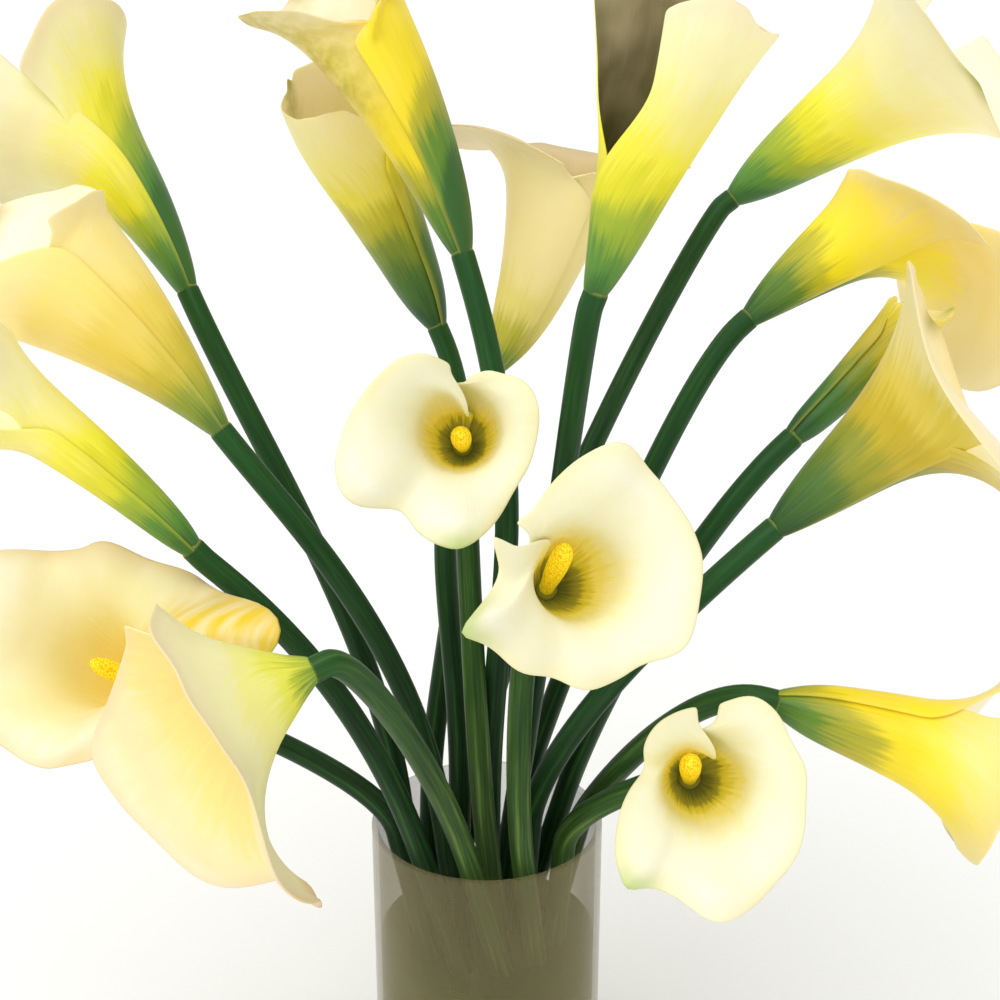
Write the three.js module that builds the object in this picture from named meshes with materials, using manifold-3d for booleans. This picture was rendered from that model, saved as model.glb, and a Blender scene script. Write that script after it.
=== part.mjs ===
// A bunch of seventeen calla lilies standing in a glass cylinder vase of water.
// Millimetres, +Z up, +X right and -Y towards the viewer. The origin is the centre of the vase's foot.
//
// Each flower is a round green stem, a white spathe rolled into a funnel whose two margins overlap,
// and a yellow spadix that stands inside it on the end of the stem.

import * as THREE from 'three';
import { mergeVertices } from 'three/addons/utils/BufferGeometryUtils.js';
import Module from 'manifold-3d';

const wasm = await Module();
wasm.setup();

const { clamp, degToRad, smoothstep } = THREE.MathUtils;

// Clearance between pieces that touch on the real thing.
const GAP = 0.3;

// The vase and its water.
const VASE_RADIUS = 75;
const VASE_HEIGHT = 250;
const VASE_WALL = 4;
const VASE_FLOOR = 10;
const VASE_EDGE = 1.2;
const VASE_SIDES = 48;
const WATER_LEVEL = 165;

// A stem stands on the vase floor and leans out through the mouth. Looking down, its foot is the place
// where it passes the mouth, drawn in towards the middle and turned, so that no two stems cross.
const STEM_RADIUS = 7.5;
const STEM_SIDES = 8;
const STEM_STEPS = 14;
const FOOT_DRAW_IN = 0.8;
const FOOT_TURN = degToRad(75);
const STRAIGHT_STOPS = [0, 0.35, 0.7];
const STRAIGHT_NECK = 10;
const BOW_STEPS = 5;
const HOLE_OVERSHOOT = 20;

// The rolled sheet of a spathe. Shares are of the flower's length.
const SHEET_THICKNESS = 1.4;
const SHEET_COLUMNS = 14;
const SHEET_ROWS = 9;
const SHEET_MARCH = 24;
const NECK_RADIUS = 7;
const NECK_RISE = 0.9;
const BULB_SHARE = 0.25;
const FLARE_POWER = 1.3;
const ROLLED_SHARE = 0.7;
const OVERLAP = degToRad(28);
const LAYER_FROM = 0.6;
const LAYER_FULL = 0.9;
const LAYER_LIFT = 1.1;
const LAYER_SHARE = 0.03;
const BEAK_WIDTH = 0.06;
const CURL_FROM = 0.7;
const CURL_START = 0.2;

// The spadix. Its outline is in shares of its radius and of its length.
const SPADIX_SIDES = 7;
const SPADIX_ROOT = 4.4;
const SPADIX_RADIUS = 6;
const SPADIX_SHARE = 0.42;
const SPADIX_OUTLINE = [[0.9, 0.3], [1, 0.6], [0.8, 0.88], [0.4, 0.98]];

// Corners closer than this are one corner.
const WELD = 1e-4;

const STEM_GREEN = new THREE.MeshStandardMaterial({ color: 0x2f6b2f, roughness: 0.5, metalness: 0 });
const SPATHE_CREAM = new THREE.MeshStandardMaterial({ color: 0xfaf6cf, roughness: 0.55, metalness: 0 });
const SPADIX_YELLOW = new THREE.MeshStandardMaterial({ color: 0xf7cf1d, roughness: 0.8, metalness: 0 });
const GLASS = new THREE.MeshStandardMaterial({ color: 0xb4b0a0, roughness: 0.05, metalness: 0 });
const WATER = new THREE.MeshStandardMaterial({ color: 0x8ea36a, roughness: 0.05, metalness: 0 });

// How far a spathe reaches and how far it flares, at even steps from one margin round to the other.
const EVEN = [0.7, 0.84, 0.93, 0.98, 1, 0.98, 0.93, 0.84, 0.7];
const TRUMPET = [80, 85, 90, 92, 90, 92, 90, 85, 80];

// mouth is where the stem passes the vase's mouth, base the end of the stem and the start of the spathe,
// look the way the funnel points and tip the side its point is on. cone is the slope of the tube and open
// the share at which it starts to flare, both flare and part, the angle between the margins at the rim,
// in degrees. bend turns the funnel towards its tip and its side, and lean the spadix in it. rise and
// neck are how long the stem keeps its direction at the mouth and below the flower.
const flowers = [
  {
    name: '01', mouth: [-56.8, 19.1], base: [-189.6, 90, 581.3], look: [-71, 68, 138], tip: [0, 1, -0.3],
    length: 210, bulb: 13, cone: 10.4, open: 0.38,
    reach: [0.77, 0.89, 0.93, 0.92, 0.88, 0.84, 0.82, 0.85, 0.96],
    flare: [50, 45, 57, 37, 44, 60, 68, 62, 42], beak: 0.04, point: 0, part: -1, curl: 0, bend: [24, 33],
    lean: [0, 0], wave: 3, waves: 3, phase: 0, hand: 1, rise: 116, neck: 97,
  },
  {
    name: '02', mouth: [-28.1, -9.1], base: [-158.9, -1.2, 518.9], look: [-89, 28, 111],
    tip: [0.35, 1, -0.69], length: 219.3, bulb: 15, cone: 17.4, open: 0.57,
    reach: [0.67, 0.67, 0.68, 0.81, 0.99, 0.95, 0.86, 0.89, 0.91],
    flare: [57, 55, 46, 40, 21, 46, 40, 32, 39], beak: 0.03, point: 0, part: 60, curl: 0, bend: [4, 27],
    lean: [0, 0], wave: 4, waves: 3, phase: 1, hand: 1, rise: 128, neck: 65,
  },
  {
    name: '03', mouth: [-41, -44.1], base: [-169.9, -57.8, 466.2], look: [-88, -5, 104],
    tip: [0.02, 1, 0.07], length: 175.3, bulb: 12, cone: 5.3, open: 0.55,
    reach: [0.77, 0.84, 0.91, 0.9, 0.88, 0.83, 0.83, 0.82, 0.77],
    flare: [39, 30, 31, 35, 51, 65, 80, 77, 74], beak: 0.02, point: 0, part: 20, curl: 0, bend: [7, 20],
    lean: [0, 0], wave: 3, waves: 3, phase: 2, hand: 1, rise: 141, neck: 15,
  },
  {
    name: '04', mouth: [-10, -59], base: [-91.1, -168.5, 440.8], look: [-90.1, -45.9, -27.9],
    tip: [59.5, -37, -89.2], length: 126.3, bulb: 33.5, cone: 34.2, open: 0.16,
    reach: [
      0.77, 0.78, 0.84, 0.97, 1.15, 1.15, 1.14, 1.14, 0.98, 0.86, 0.84, 0.98, 1, 0.91, 0.81, 0.81, 0.8,
      0.77, 0.84, 0.76, 0.7,
    ],
    flare: [54, 44, 53, 103, 130, 94, 83, 63, 56], beak: 0.22, point: 0, part: 45.1, curl: 0,
    bend: [-7.9, 0.9], lean: [0, 0], wave: 4, waves: 3, phase: 0, hand: 1, rise: 80, neck: 18,
  },
  {
    name: '05', mouth: [-58, -15], base: [-209, 15, 334], look: [-31, -75, 65], tip: [-1, 0, 0.32],
    length: 175, bulb: 30, cone: 12, open: 0.4,
    reach: [
      0.95, 1.42, 1, 0.86, 0.77, 0.78, 0.74, 0.77, 0.87, 0.96, 1.04, 0.9, 0.81, 0.8, 0.78, 0.8, 0.82,
      0.88, 0.9, 0.9, 0.85,
    ],
    flare: [115, 119, 78, 91, 90, 85, 79, 85, 87], beak: 0.05, point: 0, part: -19.5, curl: 0,
    bend: [0, 0], lean: [6.7, -0.2], wave: 5, waves: 5, phase: 0, hand: 1, rise: 40, neck: 40,
  },
  {
    name: '06', mouth: [1.4, 0.3], base: [-15, 60, 612], look: [-54, 67, 168], tip: [-0.3, 1, 0],
    length: 205, bulb: 19, cone: 8.7, open: 0.68, reach: [0.7, 0.84, 0.93, 0.98, 1, 1, 1, 0.9, 0.72],
    flare: [45, 35, 28, 30, 35, 40, 40, 42, 48], beak: 0.03, point: 0, part: 30, curl: 0, bend: [0, 24],
    lean: [0, 0], wave: 3, waves: 3, phase: 0, hand: -1, rise: 160, neck: 160,
  },
  {
    name: '07', mouth: [-38.2, 47.2], base: [-35.6, 174.7, 535.2], look: [-73, 41, 166],
    tip: [-1, 0.58, 0.1], length: 185.5, bulb: 27, cone: 8.1, open: 0.62,
    reach: [0.81, 0.91, 1, 1.03, 1, 0.99, 0.95, 0.92, 0.81],
    flare: [-20, -29, -22, -20, -30, -15, -9, -6, -15], beak: 0.05, point: 0, part: 6, curl: 0,
    bend: [-12, 29], lean: [0, 0], wave: 1, waves: 2, phase: 0, hand: -1, rise: 82, neck: 95,
  },
  {
    name: '08', mouth: [-18.3, 24], base: [6.5, 115.9, 523.3], look: [71, 50, 120], tip: [0, 1, 0],
    length: 208.1, bulb: 27, cone: 10.7, open: 0.55, reach: EVEN,
    flare: [120, 115, 110, 110, 100, 110, 115, 120, 120], beak: 0.04, point: 0, part: 20, curl: 0,
    bend: [5, 30], lean: [0, 0], wave: 3, waves: 2, phase: 0, hand: 1, rise: 136, neck: 109,
  },
  {
    name: '09', mouth: [0, -30], base: [-14, 8, 504], look: [0, -90, 43], tip: [0, -43, -90], length: 150,
    bulb: 30, cone: 10, open: 0.5,
    reach: [
      0.64, 0.72, 0.77, 0.79, 0.83, 0.9, 0.98, 0.99, 0.83, 0.91, 0.94, 0.86, 0.75, 0.71, 0.7, 0.71, 0.72,
      0.72, 0.67, 0.63, 0.56,
    ],
    flare: TRUMPET, beak: 0.02, point: 0, part: 16, curl: 0.5, bend: [0, 0], lean: [0, 0], wave: 2,
    waves: 3, phase: 0, hand: 1, rise: 80, neck: 60,
  },
  {
    name: '10', mouth: [19, 24.2], base: [63, -29.4, 610], look: [44, -4, 124], tip: [1, 0.69, -0.27],
    length: 186.2, bulb: 14, cone: 12.6, open: 0.2,
    reach: [0.86, 0.94, 0.87, 0.85, 0.87, 0.93, 0.95, 0.95, 0.92], flare: [9, 17, 18, 33, 0, 9, 1, -5, 12],
    beak: 0.02, point: 0, part: 91, curl: 0, bend: [-11, 10], lean: [0, 0], wave: 3, waves: 3, phase: 0,
    hand: -1, rise: 160, neck: 15,
  },
  {
    name: '11', mouth: [23, -55], base: [34, -100, 458], look: [20, -84, 47], tip: [80, 20, -60],
    length: 150, bulb: 30, cone: 11, open: 0.45,
    reach: [
      0.77, 0.66, 0.66, 0.76, 0.84, 0.79, 0.82, 0.78, 0.75, 0.82, 0.81, 0.8, 0.8, 0.79, 0.79, 0.82, 0.89,
      0.81, 0.72, 0.64, 0.67,
    ],
    flare: TRUMPET, beak: 0.36, point: -0.75, part: 16, curl: 0, bend: [0, 0], lean: [-9.4, 10.8], wave: 1,
    waves: 5, phase: 0, hand: 1, rise: 80, neck: 50,
  },
  {
    name: '12', mouth: [-8, 60], base: [170, 205.3, 617], look: [119, 10, 92], tip: [-0.32, -1, -0.27],
    length: 214.2, bulb: 26, cone: 11.2, open: 0.44,
    reach: [0.87, 0.83, 0.91, 0.97, 1.01, 0.96, 0.99, 0.95, 0.93],
    flare: [62, 63, 66, 72, 62, 51, 59, 46, 55], beak: 0.04, point: 0, part: 32, curl: 0, bend: [28, 2],
    lean: [0, 0], wave: 4, waves: 3, phase: 0, hand: 1, rise: 143, neck: 15,
  },
  {
    name: '13', mouth: [27, 53.8], base: [167, 80, 565.8], look: [90, 21, 79], tip: [0.39, 1, 0.75],
    length: 205, bulb: 17, cone: 12.1, open: 0.3,
    reach: [1.12, 1.01, 0.96, 0.82, 0.64, 0.54, 0.5, 0.6, 0.76],
    flare: [135, 137, 112, 54, 32, 34, 71, 91, 102], beak: 0, point: 0, part: 2, curl: 0, bend: [13, -40],
    lean: [0, 0], wave: 3, waves: 3, phase: 1, hand: 1, rise: 66, neck: 53,
  },
  {
    name: '14', mouth: [51.8, 31.1], base: [190.5, 29.9, 503.6], look: [93, 30, 81], tip: [1, 0.39, 0.06],
    length: 115.2, bulb: 12, cone: 4.6, open: 0.66,
    reach: [0.87, 0.89, 0.92, 0.99, 1.03, 0.97, 0.89, 0.88, 0.89],
    flare: [12, 7, 6, 11, 10, 15, 12, 15, 14], beak: 0.05, point: 0, part: -13, curl: 0, bend: [-8, 0],
    lean: [0, 0], wave: 1, waves: 2, phase: 0, hand: 1, rise: 108, neck: 52,
  },
  {
    name: '15', mouth: [28, -9.1], base: [167.3, -60, 479.5], look: [101, 24, 85], tip: [-0.18, 1, 0.21],
    length: 205, bulb: 20, cone: 12, open: 0.29,
    reach: [0.83, 0.85, 0.88, 0.83, 0.79, 0.79, 0.8, 0.81, 0.9],
    flare: [137, 129, 95, 79, 46, 40, 75, 110, 132], beak: 0, point: 0, part: 17, curl: 0, bend: [-6, -5],
    lean: [0, 0], wave: 5, waves: 3, phase: 0, hand: 1, rise: 38, neck: 139,
  },
  {
    name: '16', mouth: [49, -34], base: [115, -125, 353], look: [1, -87, 46], tip: [0, -40, -75],
    length: 140, bulb: 30, cone: 11, open: 0.45,
    reach: [
      0.66, 0.66, 0.66, 0.62, 0.56, 0.64, 0.75, 0.84, 0.8, 0.84, 0.94, 0.89, 0.84, 0.8, 0.77, 0.74, 0.74,
      0.74, 0.76, 0.76, 0.67,
    ],
    flare: TRUMPET, beak: 0.14, point: -0.24, part: 16, curl: 0.3, bend: [0, 0], lean: [-10.7, -6],
    wave: 3, waves: 3, phase: 0, hand: 1, rise: 40, neck: 40,
  },
  {
    name: '17', mouth: [60.6, -2.1], base: [166, -110, 392], look: [99, -10, -22], tip: [20, 0, -100],
    length: 165, bulb: 30, cone: 9, open: 0.45, reach: [0.8, 0.85, 0.86, 0.84, 0.8, 0.84, 0.86, 0.85, 0.8],
    flare: [60, 70, 75, 60, 50, 60, 75, 70, 60], beak: 0.06, point: 0, part: 30, curl: 0, bend: [12, 0],
    lean: [0, 0], wave: 4, waves: 3, phase: 0, hand: 1, rise: 10, neck: 49,
  },
];

// A smooth value between evenly spaced ones, share going from 0 at the first to 1 at the last.
function between(values, share) {
  const points = values.map((value, index) => new THREE.Vector2(index, value));
  return new THREE.SplineCurve(points).getPoint(share).y;
}

// The funnel's own axes: axis along it, tip towards its pointed side, side square to both.
function axesOf(flower) {
  const axis = new THREE.Vector3(...flower.look).normalize();
  const tip = new THREE.Vector3(...flower.tip).projectOnPlane(axis).normalize();
  const side = new THREE.Vector3().crossVectors(axis, tip);
  return { base: new THREE.Vector3(...flower.base), axis, tip, side };
}

// A point of the sheet's middle face. across runs from -1 at one margin through 0 at the tip to 1 at the
// other margin, and along from 0 at the base to 1 at the rim.
function sheetPoint(flower, across, along) {
  const { base, axis, tip, side } = axesOf(flower);
  const beak = flower.beak * Math.exp(-Math.abs(across - flower.point) / BEAK_WIDTH);
  const reach = between(flower.reach, (across + 1) / 2) + beak;
  const flare = degToRad(between(flower.flare, (across + 1) / 2));
  const bulbous = degToRad(flower.bulb);
  const cone = degToRad(flower.cone);
  const step = (along * reach * flower.length) / SHEET_MARCH;
  const openness = (share) => clamp((share - flower.open) / (reach - flower.open), 0, 1);

  let radius = NECK_RADIUS;
  let height = NECK_RISE;
  let slope = bulbous;
  for (let count = 0; count < SHEET_MARCH; count += 1) {
    const share = ((count + 0.5) * step) / flower.length;
    const bulb = clamp(1 - share / BULB_SHARE, 0, 1) ** 2;
    slope = cone + (bulbous - cone) * bulb + (flare - cone) * openness(share) ** FLARE_POWER;
    radius += step * Math.sin(slope);
    height += step * Math.cos(slope);
  }

  const opened = openness(along * reach);
  const shut = 1 - smoothstep(opened, 0, ROLLED_SHARE);
  const angle = across * (Math.PI + OVERLAP * shut - (degToRad(flower.part) / 2) * (1 - shut));
  const layer = Math.sign(across) * smoothstep(Math.abs(across), LAYER_FROM, LAYER_FULL) * shut;
  const lift = flower.hand * layer * (LAYER_LIFT + LAYER_SHARE * radius);
  const wave = flower.wave * opened ** 2 * Math.sin(flower.waves * angle + flower.phase);
  const inmost = smoothstep(-flower.hand * across, CURL_FROM, 1);
  radius *= 1 - flower.curl * inmost * smoothstep(along * reach, CURL_START, flower.open) * shut;
  radius += (lift + wave) * Math.cos(slope);
  height -= (lift + wave) * Math.sin(slope);

  const round = tip.clone().multiplyScalar(radius * Math.cos(angle));
  round.addScaledVector(side, radius * Math.sin(angle));
  return bent(flower, round, height).add(base);
}

// A point at a height on the axis and round from it, with the axis bent into an arc.
function bent(flower, round, height) {
  const { axis, tip, side } = axesOf(flower);
  const [toTip, toSide] = flower.bend.map(degToRad);
  const whole = Math.hypot(toTip, toSide);
  if (whole === 0) {
    return round.clone().addScaledVector(axis, height);
  }
  const towards = tip.clone().multiplyScalar(toTip / whole).addScaledVector(side, toSide / whole);
  const turn = (whole * height) / flower.length;
  const arc = flower.length / whole;
  const out = round.dot(towards);
  return round
    .clone()
    .addScaledVector(towards, out * (Math.cos(turn) - 1) + arc * (1 - Math.cos(turn)))
    .addScaledVector(axis, arc * Math.sin(turn) - out * Math.sin(turn));
}

// The spathe: a grid of points on the middle face, given its thickness along the normals and closed.
function spathe(flower) {
  const grid = new THREE.PlaneGeometry(2, 1, SHEET_COLUMNS, SHEET_ROWS);
  const middle = grid.getAttribute('position');
  for (let index = 0; index < middle.count; index += 1) {
    const place = sheetPoint(flower, middle.getX(index), middle.getY(index) + 0.5);
    middle.setXYZ(index, ...place.toArray());
  }
  grid.computeVertexNormals();
  const normal = grid.getAttribute('normal');
  const corners = [];
  for (const half of [SHEET_THICKNESS / 2, -SHEET_THICKNESS / 2]) {
    for (let index = 0; index < middle.count; index += 1) {
      corners.push(
        middle.getX(index) + half * normal.getX(index),
        middle.getY(index) + half * normal.getY(index),
        middle.getZ(index) + half * normal.getZ(index),
      );
    }
  }
  const faces = [...grid.index.array];
  const front = faces.length;
  for (let index = 0; index < front; index += 3) {
    const [a, b, c] = [faces[index], faces[index + 1], faces[index + 2]];
    faces.push(a + middle.count, c + middle.count, b + middle.count);
  }
  const border = borderOf(SHEET_COLUMNS + 1, SHEET_ROWS + 1);
  border.forEach((a, index) => {
    const b = border[(index + 1) % border.length];
    faces.push(a, b, a + middle.count, b, b + middle.count, a + middle.count);
  });
  return closed(corners, faces);
}

// The numbers of a grid's border points, in order round it.
function borderOf(columns, rows) {
  const top = Array.from({ length: columns - 1 }, (_, index) => index);
  const right = Array.from({ length: rows - 1 }, (_, index) => index * columns + columns - 1);
  const bottom = Array.from({ length: columns - 1 }, (_, index) => rows * columns - 1 - index);
  const left = Array.from({ length: rows - 1 }, (_, index) => (rows - 1 - index) * columns);
  return [...top, ...right, ...bottom, ...left];
}

// A mesh of corners and of the faces between them.
function closed(corners, faces) {
  const geometry = new THREE.BufferGeometry();
  geometry.setAttribute('position', new THREE.Float32BufferAttribute(corners, 3));
  geometry.setIndex(faces);
  return geometry;
}

// The stem's middle line: straight from its foot to the vase's mouth, then one bow to the flower.
function stemLine(flower) {
  const { base, axis } = axesOf(flower);
  const mouth = new THREE.Vector3(...flower.mouth, VASE_HEIGHT);
  const foot = new THREE.Vector3(...flower.mouth, VASE_HEIGHT).multiplyScalar(FOOT_DRAW_IN);
  foot.applyAxisAngle(new THREE.Vector3(0, 0, 1), FOOT_TURN).setZ(VASE_HEIGHT);
  const lean = foot.distanceTo(mouth) / VASE_HEIGHT;
  foot.setZ(VASE_FLOOR + GAP + STEM_RADIUS * lean);
  const way = mouth.clone().sub(foot).normalize();
  const neck = base.clone().addScaledVector(axis, -STRAIGHT_NECK);
  const bow = new THREE.CubicBezierCurve3(
    mouth,
    mouth.clone().addScaledVector(way, flower.rise),
    neck.clone().addScaledVector(axis, -flower.neck),
    neck,
  );
  const straight = STRAIGHT_STOPS.map((share) => foot.clone().lerp(mouth, share));
  return new THREE.CatmullRomCurve3([...straight, ...bow.getPoints(BOW_STEPS), base]);
}

// A stem's round section drawn along a path.
function rod(radius, extrudePath, steps) {
  const corners = Array.from({ length: STEM_SIDES }, (_, index) => {
    const angle = (index * 2 * Math.PI) / STEM_SIDES;
    return new THREE.Vector2(radius * Math.cos(angle), radius * Math.sin(angle));
  });
  return new THREE.ExtrudeGeometry(new THREE.Shape(corners), { steps, extrudePath, bevelEnabled: false });
}

// The spadix: a blunt club on the end of the stem, turned round the funnel's axis.
function spadix(flower) {
  const length = flower.length * SPADIX_SHARE;
  const flank = SPADIX_OUTLINE.map(([wide, far]) => [SPADIX_RADIUS * wide, length * far]);
  const profile = [[0, GAP], [SPADIX_ROOT, GAP], ...flank, [0, length]];
  const geometry = new THREE.LatheGeometry(profile.map((pair) => new THREE.Vector2(...pair)), SPADIX_SIDES);
  const points = geometry.getAttribute('position');
  const { base, tip, side } = axesOf(flower);
  const [toTip, toSide] = flower.lean.map(degToRad);
  for (let index = 0; index < points.count; index += 1) {
    const height = points.getY(index);
    const round = tip.clone().multiplyScalar(points.getX(index) + height * Math.tan(toTip));
    round.addScaledVector(side, height * Math.tan(toSide) - points.getZ(index));
    const place = bent(flower, round, height).add(base);
    points.setXYZ(index, ...place.toArray());
  }
  return geometry;
}

// The vase: a straight glass cylinder with a thick floor and softened edges, turned in one piece.
function vase() {
  const inner = VASE_RADIUS - VASE_WALL;
  const profile = [
    [0, 0], [VASE_RADIUS - VASE_EDGE, 0], [VASE_RADIUS, VASE_EDGE],
    [VASE_RADIUS, VASE_HEIGHT - VASE_EDGE], [VASE_RADIUS - VASE_EDGE, VASE_HEIGHT],
    [inner + VASE_EDGE, VASE_HEIGHT], [inner, VASE_HEIGHT - VASE_EDGE], [inner, VASE_FLOOR], [0, VASE_FLOOR],
  ].map(([radius, height]) => new THREE.Vector2(radius, height));
  return new THREE.LatheGeometry(profile, VASE_SIDES).rotateX(Math.PI / 2);
}

// The water fills the vase to its level and stands clear of every stem.
function water() {
  const radius = VASE_RADIUS - VASE_WALL - GAP;
  const depth = WATER_LEVEL - VASE_FLOOR - GAP;
  const body = new THREE.CylinderGeometry(radius, radius, depth, VASE_SIDES)
    .rotateX(Math.PI / 2)
    .translate(0, 0, VASE_FLOOR + GAP + depth / 2);
  let solid = solidOf(body);
  for (const flower of flowers) {
    solid = solid.subtract(solidOf(stemHole(flower)));
  }
  return geometryOf(solid);
}

// A straight hole along a stem, from below its foot to above the water.
function stemHole(flower) {
  const [foot, upper] = stemLine(flower).points;
  const way = upper.clone().sub(foot).normalize();
  const path = new THREE.LineCurve3(
    foot.clone().addScaledVector(way, -HOLE_OVERSHOOT),
    foot.clone().addScaledVector(way, WATER_LEVEL + HOLE_OVERSHOOT),
  );
  return rod(STEM_RADIUS + 2 * GAP, path, 1);
}

function solidOf(geometry) {
  const bare = geometry.clone();
  bare.deleteAttribute('normal');
  bare.deleteAttribute('uv');
  const merged = mergeVertices(bare, WELD);
  return new wasm.Manifold(
    new wasm.Mesh({
      numProp: 3,
      vertProperties: Float32Array.from(merged.getAttribute('position').array),
      triVerts: Uint32Array.from(merged.index.array),
    }),
  );
}

function geometryOf(solid) {
  const mesh = solid.getMesh();
  return closed([...mesh.vertProperties], [...mesh.triVerts]);
}

const group = new THREE.Group();

function place(name, geometry, material) {
  const mesh = new THREE.Mesh(geometry, material.clone());
  mesh.name = name;
  group.add(mesh);
}

place('vase', vase(), GLASS);
place('water', water(), WATER);
for (const flower of flowers) {
  place(`flower_${flower.name}_stem`, rod(STEM_RADIUS, stemLine(flower), STEM_STEPS), STEM_GREEN);
  place(`flower_${flower.name}_spathe`, spathe(flower), SPATHE_CREAM);
  place(`flower_${flower.name}_spadix`, spadix(flower), SPADIX_YELLOW);
}

export default group;
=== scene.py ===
"""Calla lilies in a glass cylinder vase of water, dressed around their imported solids.

Sizes of the flowers are in millimetres and meshes are in metres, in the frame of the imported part:
+Z is up, -Y faces the viewer and the origin is the middle of the vase's foot.
"""

import logging
import math
from dataclasses import dataclass, field, replace
from enum import Enum
from functools import cache

import bmesh
import bpy
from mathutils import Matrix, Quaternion, Vector, noise


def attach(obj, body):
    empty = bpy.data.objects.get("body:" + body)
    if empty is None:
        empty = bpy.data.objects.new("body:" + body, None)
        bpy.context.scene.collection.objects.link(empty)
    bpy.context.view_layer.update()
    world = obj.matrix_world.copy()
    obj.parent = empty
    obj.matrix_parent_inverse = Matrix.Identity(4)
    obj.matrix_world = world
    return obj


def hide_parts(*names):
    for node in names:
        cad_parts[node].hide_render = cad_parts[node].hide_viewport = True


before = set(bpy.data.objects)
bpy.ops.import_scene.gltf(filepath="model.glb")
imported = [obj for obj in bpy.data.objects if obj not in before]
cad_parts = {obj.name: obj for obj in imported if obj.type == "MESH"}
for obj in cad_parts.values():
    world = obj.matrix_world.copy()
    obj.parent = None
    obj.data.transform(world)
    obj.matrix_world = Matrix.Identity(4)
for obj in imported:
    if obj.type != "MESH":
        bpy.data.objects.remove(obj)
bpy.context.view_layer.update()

log = logging.getLogger("callas")

MM = 0.001
ROOT_BODY = "root"
SPATHE_MARKS = ("margin", "rim", "gilt", "beak")
STEM_MARKS = ("upper", "crown")

Pair = tuple[float, float]
Triple = tuple[float, float, float]
Stops = tuple[tuple[float, str], ...]


def linear(code: str) -> tuple[float, float, float, float]:
    """Turn an sRGB hex colour into Blender's linear colour.

    Args:
        code: Six hex digits, such as "f5ee20".

    Returns:
        Red, green, blue and an alpha of 1.
    """
    shares = [int(code[start:start + 2], 16) / 255 for start in (0, 2, 4)]
    bent = [share / 12.92 if share <= 0.04045 else ((share + 0.055) / 1.055) ** 2.4 for share in shares]
    return (bent[0], bent[1], bent[2], 1.0)


def smooth(value: float, low: float, high: float) -> float:
    """Rise smoothly from 0 at low to 1 at high.

    Args:
        value: The number to judge.
        low: Where the rise starts.
        high: Where it ends.

    Returns:
        A share from 0 to 1.
    """
    if value <= low:
        return 0.0
    if value >= high:
        return 1.0
    share = (value - low) / (high - low)
    return share * share * (3 - 2 * share)


def between(values: tuple[float, ...], share: float) -> float:
    """Read a smooth value between evenly spaced ones.

    Args:
        values: The values, the first at 0 and the last at 1.
        share: Where to read, from 0 to 1.

    Returns:
        The value on a curve through them all.
    """
    last = len(values) - 1
    place = min(max(share, 0.0), 1.0) * last
    start = min(int(place), last - 1)
    rest = place - start
    before, here, there, after = (values[min(max(start + step, 0), last)] for step in (-1, 0, 1, 2))
    slope_here = (there - before) / 2
    slope_there = (after - here) / 2
    cubic = 2 * here - 2 * there + slope_here + slope_there
    square = -3 * here + 3 * there - 2 * slope_here - slope_there
    return ((cubic * rest + square) * rest + slope_here) * rest + here


def node(
    tree: bpy.types.NodeTree,
    kind: str,
    settings: dict[str, object] | None = None,
    inputs: dict[str | int, object] | None = None,
    stops: Stops = (),
) -> bpy.types.Node:
    """Add one node with its settings, input values and links.

    Args:
        tree: The node tree to add to.
        kind: The node's type.
        settings: The node's own properties.
        inputs: A value for a socket, or the output socket that it is linked to.
        stops: Places and sRGB hex colours of a colour ramp.

    Returns:
        The new node.
    """
    made = tree.nodes.new(kind)
    for name, value in (settings or {}).items():
        setattr(made, name, value)
    for name, value in (inputs or {}).items():
        if isinstance(value, bpy.types.NodeSocket):
            tree.links.new(value, made.inputs[name])
        else:
            made.inputs[name].default_value = value
    if stops:
        elements = made.color_ramp.elements
        while len(elements) < len(stops):
            elements.new(1.0)
        for element, (place, code) in zip(elements, stops):
            element.position = place
            element.color = linear(code)
    return made


def ranged(
    tree: bpy.types.NodeTree,
    value: bpy.types.NodeSocket,
    span: Pair,
    result: Pair = (0.0, 1.0),
    way: str = "LINEAR",
) -> bpy.types.NodeSocket:
    """Carry a value over from one range to another.

    Args:
        tree: The node tree to add to.
        value: The socket that is read.
        span: The start and the end of its range.
        result: What comes out at that start and end, and beyond them.
        way: How it goes from one to the other, LINEAR or SMOOTHSTEP.

    Returns:
        The output socket.
    """
    made = node(tree, "ShaderNodeMapRange", {"interpolation_type": way}, {
        0: value, 1: span[0], 2: span[1], 3: result[0], 4: result[1]})
    return made.outputs[0]


def new_material(name: str) -> tuple[bpy.types.Material, bpy.types.NodeTree, bpy.types.Node]:
    """Start a material with only its output node, and leave its glow out of the lamps that are sampled.

    Args:
        name: The material's name.

    Returns:
        The material, its node tree and the output node.
    """
    material = bpy.data.materials.new(name)
    material.use_nodes = True
    material.cycles.emission_sampling = "NONE"
    tree = material.node_tree
    tree.nodes.clear()
    return material, tree, tree.nodes.new("ShaderNodeOutputMaterial")


class Roll(Enum):
    """Which way round a spathe is rolled."""

    LEFT_OVER = -1
    RIGHT_OVER = 1


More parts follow.
